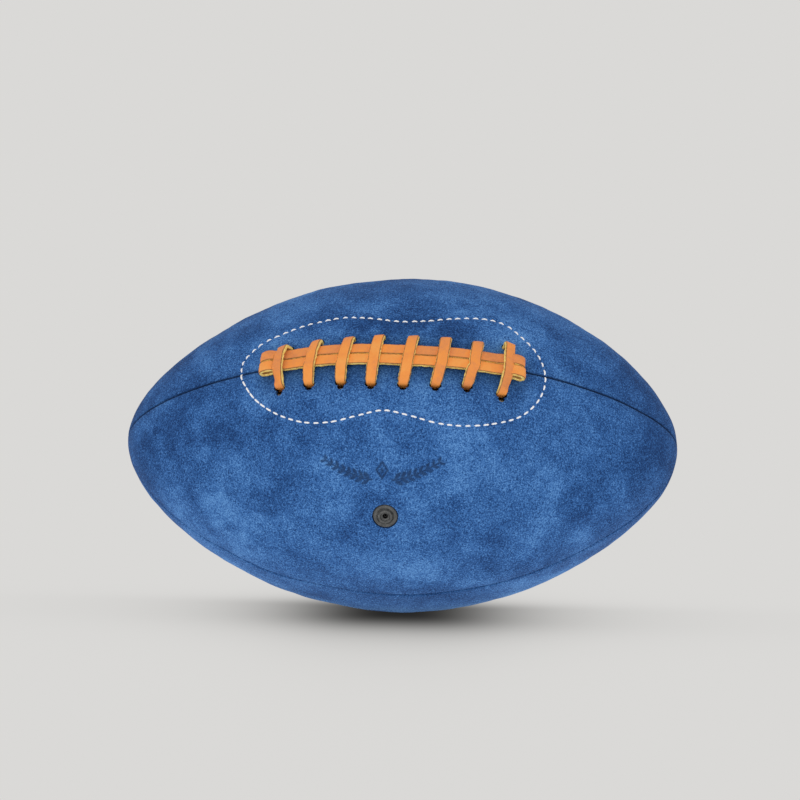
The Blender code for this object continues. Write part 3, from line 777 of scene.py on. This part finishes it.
def build_panel(index, rows, steps):
    """A panel with these rows along the ball, and columns in stretches of (from, to, count)."""
    start, stop = LACE_SEAM + index * QUARTER, LACE_SEAM + (index + 1) * QUARTER
    gaps = SEAM_GAPS[index], SEAM_GAPS[(index + 1) % len(PANELS)]
    phi = rows[:, None]
    r = skin_radius(phi)
    narrow = np.minimum(1.0, r / (9 * MM))  # the lips shrink with the ball towards its tips

    def turn(across, gap=SEAM_HALF_GAP):
        return (gap + (across * MM - SEAM_HALF_GAP) * narrow) / r

    stretches = [np.linspace(low, high, count, endpoint=False) for low, high, count in steps]
    share = np.concatenate(stretches + [[1.0]])
    edge = turn(OUTSIDE_FROM)
    middle = start + edge + (stop - start - 2 * edge) * share
    left = np.concatenate([start + turn(s, gaps[0]) for s, _ in LIP], 1)
    right = np.concatenate([stop - turn(s, gaps[1]) for s, _ in reversed(LIP)], 1)
    deep = np.array([d for _, d in LIP]) * MM
    drop = deep * np.where(deep > 1.0 * MM, 1.0, narrow)
    left_lift = relief(phi, left) * LIP_RELIEF - drop
    right_lift = relief(phi, right) * LIP_RELIEF[::-1] - drop[:, ::-1]
    lift = np.concatenate([left_lift, relief(phi, middle), right_lift], 1)
    outer = place(phi, np.concatenate([left, middle, right], 1), lift)

    phi = phi[::COARSER]
    mids = middle[::COARSER, ::COARSER]
    if (middle.shape[1] - 1) % COARSER:
        mids = np.concatenate([mids, middle[::COARSER, -1:]], 1)
    lip, inside = turn(LIP_WIDTH)[::COARSER], turn(INSIDE_FROM)[::COARSER]
    angles = np.concatenate([start + lip, start + inside, mids, stop - inside, stop - lip], 1)
    depth = np.full(angles.shape, LEATHER)
    depth[:, [0, -1]] = LIP_DEPTH
    inner = place(phi, angles, -depth)

    points = np.concatenate([outer.reshape(-1, 3), inner.reshape(-1, 3)])
    faces = panel_faces(*outer.shape[:2], *inner.shape[:2])
    item = add_object(f"{PANELS[index]}_suede_panel", points, faces, SUEDE)
    face_outwards(item.data)
    return item


def build_panels():
    # Steps in mm: finest where the emblem is on the front panel, and coarser at the rear and base
    whole = 200
    coarse = fine_rows([(-whole, whole, 1.35)])
    fine = fine_rows([(-whole, whole, 1.0)])
    finest = fine_rows([(-whole, -38, 1.0), (-38, 27, 0.56), (27, whole, 1.0)])
    marked = [(0.0, 0.47, 66), (0.47, 0.74, 66), (0.74, 1.0, 36)]
    plain = [(0.0, 1.0, 100)]
    panels = [build_panel(TOP, fine, [(0.0, 1.0, 138)]), build_panel(REAR, coarse, plain),
              build_panel(BASE, coarse, plain), build_panel(FRONT, finest, marked)]
    high = hole_cutters(HIGH_HOLES)
    low = hole_cutters(LOW_HOLES, STRETCH) + [valve_cutter()]
    cut(panels[TOP], high)
    cut(panels[FRONT], low)
    remove(high + low)
    for index, item in enumerate(panels):
        finish_shading(item.data, sharp=60)
        shade_suede(item.data)
        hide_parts(f"{PANELS[index]}_panel")
        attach(item, "root")


# ---------- white stitching ----------

def build_stitches(name, upper, node):
    """The ring's stitches above or below the seam, each a short two-ply cord that dives into its holes."""
    points, faces = [], []
    sides, along = 12, 17
    t = np.linspace(0, 1, along)
    a = 2 * np.pi * np.arange(sides) / sides
    radius = STITCH_RADIUS * (0.84 + 0.16 * np.sin(np.pi * t) ** 0.5)
    lift = -0.75 * MM + 0.92 * MM * np.sin(np.pi * t) ** 0.22
    for line in STITCHES:
        if (line[STITCH_SPOTS // 2][1] > 0) != upper:
            continue
        spots = np.arange(STITCH_SPOTS)
        even = np.linspace(0, STITCH_SPOTS - 1, along)
        x, across = (np.interp(even, spots, line[:, k]) for k in (0, 1))
        path = skin(x, across, lift)
        way = unit(np.gradient(path, axis=0))
        side = unit(np.cross(way, outward(phi_at(x), lace_theta(x, across))))
        up = np.cross(side, way)
        base = sum(len(p) for p in points)
        rings = []
        for i in range(along):
            ply = 1 + 0.10 * np.cos(2 * a + 18 * t[i])
            wide, high = np.cos(a)[:, None] * side[i] * 1.12, np.sin(a)[:, None] * up[i] * 0.9
            rings.append(path[i] + radius[i] * ply[:, None] * (wide + high))
        points.append(np.concatenate(rings))
        faces += grid_faces(along, sides, base, flip=True, closed=True)
        last = base + (along - 1) * sides
        faces += [tuple(range(base, base + sides)), tuple(range(last + sides - 1, last - 1, -1))]
    item = add_object(name, np.concatenate(points), faces, THREAD, sharp=80)
    face_outwards(item.data)
    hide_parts(node)
    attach(item, "root")


# ---------- lace ----------

STRAP_LOOKS = [FACE, EDGE, LINE, FLESH]
ON_FACE, ON_EDGE, ON_LINE, ON_FLESH = range(len(STRAP_LOOKS))
STRAP_STEP = 0.55 * MM
STRAP_CORNER = 0.42 * MM


def strap_outline():
    """Section of a leather strap as (across, up, the look from this point to the next)."""
    w, t, c = STRAP_WIDTH / 2, STRAP_THICKNESS / 2, STRAP_CORNER
    top = [(-w + c + (2 * w - 2 * c) * k / 10, t + 0.10 * MM * math.sin(math.pi * k / 10), ON_FACE)
           for k in range(10)]
    right = [(w - c, t, ON_LINE), (w - 0.22 * MM, t - 0.10 * MM, ON_LINE), (w - 0.02 * MM, t - c, ON_EDGE),
             (w + 0.10 * MM, 0.25 * t, ON_EDGE), (w + 0.10 * MM, -0.35 * t, ON_EDGE),
             (w + 0.02 * MM, -t + 0.2 * MM, ON_EDGE), (w - 0.22 * MM, -t, ON_FLESH)]
    looks = (ON_EDGE, ON_EDGE, ON_EDGE, ON_EDGE, ON_LINE, ON_LINE)
    left = [(-a, b, look) for (a, b, _), look in zip(reversed(right[1:]), looks)]
    return top + right + left


def build_strap(name, spots, wide, node, tone, seed):
    """A strap along control points, whose width lies along the wide vectors."""
    both = spline(np.concatenate([spots, np.asarray(wide) * MM], 1), STRAP_STEP)
    path, across = both[:, :3], both[:, 3:]
    way = unit(np.gradient(path, axis=0))
    size = np.linalg.norm(across, axis=1) / MM
    across = unit(across - way * (across * way).sum(1, keepdims=True))
    up = np.cross(across, way)
    outline = strap_outline()
    count, sides = len(path), len(outline)
    w = np.array([o[0] for o in outline])
    h = np.array([o[1] for o in outline])
    points = path[:, None] + (size[:, None] * w)[..., None] * across[:, None] + h[:, None] * up[:, None]
    edge = np.abs(w) > STRAP_WIDTH / 2 - 0.3 * MM
    rough = 0.09 * MM * ripple(points, 1.9 * MM, seed, 40) * edge
    points = points + (rough * np.sign(w))[..., None] * across[:, None]
    points = points + (0.05 * MM * ripple(points, 7 * MM, seed + 1))[..., None] * up[:, None]
    faces = grid_faces(count, sides, closed=True)
    slots = [outline[k % sides][2] for k in range((count - 1) * sides)]
    faces += [tuple(range(sides))[::-1], tuple((count - 1) * sides + k for k in range(sides))]
    slots += [ON_EDGE, ON_EDGE]
    item = add_object(name, points, faces, STRAP_LOOKS, slots, sharp=50)
    # The strap's tone along its path, which carries the painted light and shade of the lace pieces
    shade = np.repeat(tone(path)[:, None], sides, 1)
    attribute = item.data.attributes.new("tone", "FLOAT", "POINT")
    attribute.data.foreach_set("value", shade.ravel().astype(np.float32))
    face_outwards(item.data)
    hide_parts(node)
    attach(item, "root")


# Where the two strips meet, as (along, across) in mm
DIVIDER = ((-74, 0.9), (-66, 1.1), (-58, 2.2), (-50, 2.5), (-34, 2.4), (-18, 1.8), (0, 1.0),
           (15, 0.7), (32, 0.9), (48, 0.9), (56, 0.3), (63, -0.7), (72, -0.9))
# Lifts of a strip's middle, in mm: the tail folded under, the fold over it, and the strip's run
TAIL_LIFT = 1.05
FOLD_LIFT = 5.2
STRIP_LIFT = 1.2
FOLD_MIDDLE = 2.1  # mm from the strip's end
FOLD_RADIUS = 1.95


def divider(x):
    return np.interp(x / MM, [d[0] for d in DIVIDER], [d[1] for d in DIVIDER]) * MM


def strip_spots(left_end, right_end):
    """A strip's centreline as (x, lift): folded under itself at both ends."""
    tail = [(7.4, TAIL_LIFT), (5.0, TAIL_LIFT), (3.2, TAIL_LIFT)]
    turn = [(FOLD_MIDDLE - FOLD_RADIUS * math.sin(a), (TAIL_LIFT + FOLD_LIFT) / 2 - FOLD_RADIUS * math.cos(a))
            for a in (0.35, 1.0, 1.57, 2.15, 2.8)]
    back = [(3.4, FOLD_LIFT), (5.0, FOLD_LIFT - 0.35), (7.2, FOLD_LIFT - 1.8), (9.8, 2.2), (13.6, 1.3)]
    ends = tail + turn + back
    spots = [(left_end + a, b) for a, b in ends]
    spots += [(a, STRIP_LIFT) for a in np.arange(left_end + 20, right_end - 19, 6.0)]
    spots += [(right_end - a, b) for a, b in reversed(ends)]
    return np.array(spots) * MM


def build_strip(name, side, left_end, right_end, tone, seed):
    """One long strip: side is 1 above the line where the strips meet and -1 below it."""
    x, lift = strip_spots(left_end, right_end).T
    across = divider(x) + side * (STRAP_WIDTH / 2 + 0.02 * MM)
    draw = np.random.default_rng(seed)
    across = across + side * np.abs(draw.normal(size=len(x))) * 0.05 * MM
    path = by_lace(x, across, lift)
    theta = lace_theta(x, across)
    wide = np.stack([np.zeros_like(theta), np.sin(theta), np.cos(theta)], 1)
    build_strap(f"{name}_strap", path, -wide, name, tone, seed)


BAR_LIFT = 3.2  # mm, over the strips
END_BAR_LIFT = 4.8  # mm, over the strips' folded ends
DEEP = -LACE_INSIDE / MM


def bar_spots(index):
    """One bar's middle as (x mm, across mm, lift mm, lean degrees), from its lower to its upper hole."""
    (lx, ls), (hx, hs) = LOW_HOLES[index], HIGH_HOLES[index]
    ls, hs = ls + HOLE_SLACK, hs - HOLE_SLACK
    foot, waist, top = BAR_LEAN[index]
    crown = END_BAR_LIFT if index in (0, BARS - 1) else BAR_LIFT
    # The first bar stays straight for longer and then turns to its hole
    follow, late, short = (0.45, 0.55, 1.1) if index == 0 else (1.0, 0.8, 0.1)
    mid_x = lx + (hx - lx) * BAR_MIDDLE[index]
    draw = np.random.default_rng(40 + index)
    rise = ((1.4, DEEP + 0.1), (0.4, DEEP + 0.6), (0.0, DEEP + 1.8), (0.0, -0.9), (0.12, 0.2))
    spots = [(lx, ls + ds, h, 0.0) for ds, h in rise]
    spots += [(lx + (mid_x - lx) * 0.15, ls + 1.3, 1.05, foot * 0.7),
              (lx + (mid_x - lx) * 0.4, ls + 4.0, 1.35, foot),
              (lx + (mid_x - lx) * 0.75, ls + 7.6, crown - 0.75, (foot + waist) / 2)]
    for s, f in ((-3.2, 0.1), (0.6, 0.3), (4.2, 0.5)):
        x = mid_x + (hx - mid_x) * f * follow + draw.uniform(-0.15, 0.15)
        spots.append((x, s, crown, waist + (top - waist) * f))
    spots += [(mid_x + (hx - mid_x) * late, hs - 3.1, crown - 0.3, top),
              (hx - short, hs - 0.9, crown - 1.0, top * 0.8), (hx, hs, 0.7, 0.0)]
    spots += [(hx, hs - ds, h, 0.0)
              for ds, h in ((0.0, -1.0), (0.0, DEEP + 1.8), (0.4, DEEP + 0.6), (1.4, DEEP + 0.1))]
    return spots


def slant_spots(index):
    """The lace's way inside, from one bar's upper hole to the next bar's lower hole."""
    (hx, hs), (nx, ns) = HIGH_HOLES[index], LOW_HOLES[index + 1]
    spots = []
    for f in np.linspace(0, 1, 5):
        spots.append((hx + (nx - hx) * ramp(f, 0, 1), hs - 4 + (ns + 4 - hs + 4) * f, DEEP, 0))
    return spots


def cross_lace_tone_and_shade(points):
    """How light or dark the cross lace is painted: darker to the right and at the first bar, and darker
    higher up as painted shade.
    """
    x, theta = points[:, 0], np.arctan2(points[:, 2], -points[:, 1])
    high = wrap(theta - LACE_SEAM) * RADIUS / (14 * MM)
    return 0.05 - 0.16 * ramp(x, -20 * MM, 60 * MM) - 0.10 * bell(x + 59 * MM, 9 * MM) - 0.05 * high


def build_cross_lace():
    (lx, ls), (hx, hs) = LOW_HOLES[0], HIGH_HOLES[-1]
    spots = [(lx, ls + 10, DEEP, 0), (lx, ls + 4.6, DEEP, 0)]
    for index in range(BARS):
        spots += bar_spots(index)
        if index < BARS - 1:
            spots += slant_spots(index)
    spots += [(hx, hs - 4.6, DEEP, 0), (hx, hs - 10, DEEP, 0)]
    spots = np.array(spots)
    x, across, lift = spots[:, :3].T * MM
    lean = np.radians(spots[:, 3:])
    path = by_lace(x, across, lift)
    out = outward(phi_at(x), lace_theta(x, across))
    level = unit(np.array([1.0, 0, 0]) - out * out[:, :1])
    way = unit(np.gradient(path, axis=0))
    flat = unit(way - out * (way * out).sum(1, keepdims=True))
    inside = np.abs(lift + LACE_INSIDE) < 1e-9
    slant = np.cross(flat, out)
    slant *= np.sign((slant * level).sum(1, keepdims=True))
    wide = np.where(inside[:, None], slant, level * np.cos(lean) + out * np.sin(lean))
    # The leather is squeezed narrower where it passes through a hole
    wide *= 1 - 0.14 * (1 - ramp(lift, 0.2 * MM, 1.6 * MM))[:, None]
    build_strap("cross_lace_strap", path, wide, "cross_lace", cross_lace_tone_and_shade, 21)


def build_lace():
    # The upper strip is painted darker as painted shade, and darker still towards the right; the lower strip
    # is painted lighter as painted light
    def upper(points):
        return -0.10 - 0.10 * ramp(points[:, 0], -10 * MM, 60 * MM)

    def lower(points):
        return np.full(len(points), 0.10)

    build_strip("upper_lace_strip", 1, -67.9, 64.0, upper, 7)
    build_strip("lower_lace_strip", -1, -68.3, 64.4, lower, 8)
    build_cross_lace()


# ---------- valve ----------

# Outlines as (radius, height over the skin) in mm, once round the section. The plug's go over its
# raised ring and flat face, down the neck to the flange, and up through the hole for the core
PLUG_OUTLINE = (
    (1.35, -0.9), (1.45, -0.5), (1.9, -0.35), (2.25, -0.3), (2.4, 0.25), (2.7, 0.68), (3.15, 0.78),
    (3.55, 0.6), (3.72, 0.05), (3.85, -0.42), (4.15, -0.5), (4.45, -0.12), (4.9, 0.02), (5.4, 0.0),
    (5.75, -0.14), (6.15, -0.55), (6.3, -1.0), (6.4, -1.6), (6.2, -1.9), (4.9, -2.05),
    (4.6, -2.4), (4.6, -8.6), (5.2, -9.2), (11.2, -9.4), (11.5, -9.8), (11.2, -10.2), (5.2, -10.7),
    (4.6, -11.2), (4.6, -14.2), (4.3, -14.5), (3.2, -14.5), (2.9, -14.2), (2.9, -2.2), (2.6, -1.8),
    (1.5, -1.6), (1.35, -1.3))
CORE_OUTLINE = (
    (0.5, -2.1), (1.1, -1.98), (2.2, -2.4), (2.6, -2.9), (2.6, -13.3), (2.3, -13.9), (1.2, -14.2),
    (0.5, -14.1), (0.42, -8.0))


def build_turned(name, outline, material, node, sides):
    """A piece turned about the valve's axis."""
    phi = phi_at(VALVE_X)
    centre, axis = place(phi, VALVE_THETA, 0.0), outward(phi, VALVE_THETA)
    turn = np.array(Vector((0, 0, 1)).rotation_difference(Vector(axis)).to_matrix())
    r, h = (spline(np.array(outline) * MM, 0.35 * MM, closed=True)[:-1]).T
    a = 2 * np.pi * np.arange(sides)[:, None] / sides
    points = np.stack([r * np.cos(a), r * np.sin(a), np.broadcast_to(h, (sides, len(h)))], -1)
    count = len(r)
    faces = grid_faces(sides, count, closed=True)
    last = (sides - 1) * count
    faces += [(last + k, last + (k + 1) % count, (k + 1) % count, k) for k in range(count)]
    item = add_object(name, centre + points @ turn.T, faces, material, sharp=50)
    face_outwards(item.data)
    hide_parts(node)
    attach(item, "root")


def build_valve():
    build_turned("valve_plug", PLUG_OUTLINE, VALVE, "valve_housing", ROUND_SIDES)
    build_turned("valve_rubber_core", CORE_OUTLINE, CORE, "valve_core", ROUND_SIDES // 2)


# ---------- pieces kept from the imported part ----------

def dress_nodes():
    for name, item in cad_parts.items():
        if item.hide_render:
            continue
        material = BLADDER
        if name.endswith("lining"):
            material = COTTON
        elif name.endswith("facing"):
            material = FACING
        elif name == "lace_tongue":
            material = TONGUE
        elif "thread" in name:
            material = THREAD
        for slot in item.material_slots:
            slot.material = material


# ---------- studio ----------

BACKDROP = linear(218, 217, 215)
FLOOR_REACH = 40.0
# The painted shadow: how far it reaches to the sides, and where its fading starts and how far it
# reaches from there, to the front and to the back
SHADOW_ASIDE = 62 * MM
SHADOW_NEAR = (12 * MM, 40 * MM)
SHADOW_BEHIND = (5 * MM, 20 * MM)
# Suns as (name, strength as a share of the backdrop's light, way towards it, width in degrees). The
# last one brightens the underside from below, through the floor, which blocks no light
LAMPS = (("key", 0.22, (-0.35, -1.0, 0.02), 40), ("fill", 0.08, (0.7, -0.8, 0.5), 70),
         ("floor_bounce", 0.62, (0.0, 0.35, -1.0), 50))
# The camera: how far it turns to the right, looks down and rolls, and the place that it looks at
CAMERA_TURN = math.radians(3.0)
CAMERA_RISE = math.radians(8.0)
CAMERA_ROLL = math.radians(0.6)
CAMERA_TARGET = Vector((-1.07 * MM, 0.0, 24.56 * MM))
CAMERA_DISTANCE = 1.2
CAMERA_LENS = 99.63


def floor_material():
    """A pale floor that glows as evenly as the studio, with the soft shadow under the ball."""
    p = Paint("pale_floor", 1.0)
    split = p.node("SeparateXYZ", {0: p.where})
    aside = p.math("ABSOLUTE", split.outputs[0])
    along = p.math("POWER", p.math("DIVIDE", aside, SHADOW_ASIDE), 3.0)
    nearer = p.math("MULTIPLY_ADD", split.outputs[1], -1.0)
    nearer.node.inputs[2].default_value = -SHADOW_NEAR[0]
    nearer = p.math("DIVIDE", p.math("MAXIMUM", nearer, 0.0), SHADOW_NEAR[1])
    behind = p.math("MAXIMUM", p.math("ADD", split.outputs[1], SHADOW_BEHIND[0]), 0.0)
    behind = p.math("DIVIDE", behind, SHADOW_BEHIND[1])
    across = p.math("POWER", p.math("ADD", nearer, behind), 3.0)
    spread = p.math("MULTIPLY", p.math("ADD", along, 1.0), p.math("ADD", across, 1.0))
    light = p.math("SUBTRACT", 1.0, p.math("DIVIDE", 0.97, spread), clamp=True)
    glow = p.node("Emission", {"Color": (*BACKDROP, 1.0), "Strength": light})
    output = p.tree.nodes["Material Output"]
    p.tree.links.new(glow.outputs[0], output.inputs["Surface"])
    return p.material


def build_floor():
    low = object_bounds()[0]
    mesh = bpy.data.meshes.new("floor")
    count = 9
    points = [(FLOOR_REACH * (2 * i / (count - 1) - 1), FLOOR_REACH * (2 * k / (count - 1) - 1), low.z)
              for i in range(count) for k in range(count)]
    mesh.from_pydata(points, [], grid_faces(count, count, flip=True))
    floor = bpy.data.objects.new("floor", mesh)
    bpy.context.scene.collection.objects.link(floor)
    mesh.materials.append(floor_material())
    floor.visible_shadow = False


def build_lights():
    world = bpy.data.worlds.new("studio")
    world.use_nodes = True
    world.node_tree.nodes["Background"].inputs["Color"].default_value = (*BACKDROP, 1.0)
    bpy.context.scene.world = world
    for name, share, way, spread in LAMPS:
        lamp = bpy.data.lights.new(name, "SUN")
        lamp.energy = share * math.pi * BACKDROP[1]
        lamp.color = (1.0, 0.99, 0.97)
        lamp.angle = math.radians(spread)
        item = bpy.data.objects.new(name, lamp)
        item.rotation_euler = Vector(way).to_track_quat("Z", "Y").to_euler()
        bpy.context.scene.collection.objects.link(item)


def build_camera():
    back = Vector((math.sin(CAMERA_TURN) * math.cos(CAMERA_RISE),
                   -math.cos(CAMERA_TURN) * math.cos(CAMERA_RISE), math.sin(CAMERA_RISE)))
    right = Vector((math.cos(CAMERA_TURN), math.sin(CAMERA_TURN), 0.0))
    tilted = right * math.cos(CAMERA_ROLL) + back.cross(right) * math.sin(CAMERA_ROLL)
    upright = back.cross(tilted)
    data = bpy.data.cameras.new("camera")
    data.lens, data.sensor_width = CAMERA_LENS, 36.0
    data.clip_start, data.clip_end = 0.05, 200.0
    camera = bpy.data.objects.new("camera", data)
    bpy.context.scene.collection.objects.link(camera)
    spot = CAMERA_TARGET + back * CAMERA_DISTANCE
    camera.matrix_world = Matrix((
        (tilted.x, upright.x, back.x, spot.x), (tilted.y, upright.y, back.y, spot.y),
        (tilted.z, upright.z, back.z, spot.z), (0.0, 0.0, 0.0, 1.0)))
    bpy.context.scene.camera = camera


bpy.context.scene.view_settings.view_transform = "Standard"
build_panels()
build_stitches("upper_ring_stitches", True, "upper_facing_thread")
build_stitches("lower_ring_stitches", False, "lower_facing_thread")
build_lace()
build_valve()
dress_nodes()
build_floor()
build_lights()
build_camera()
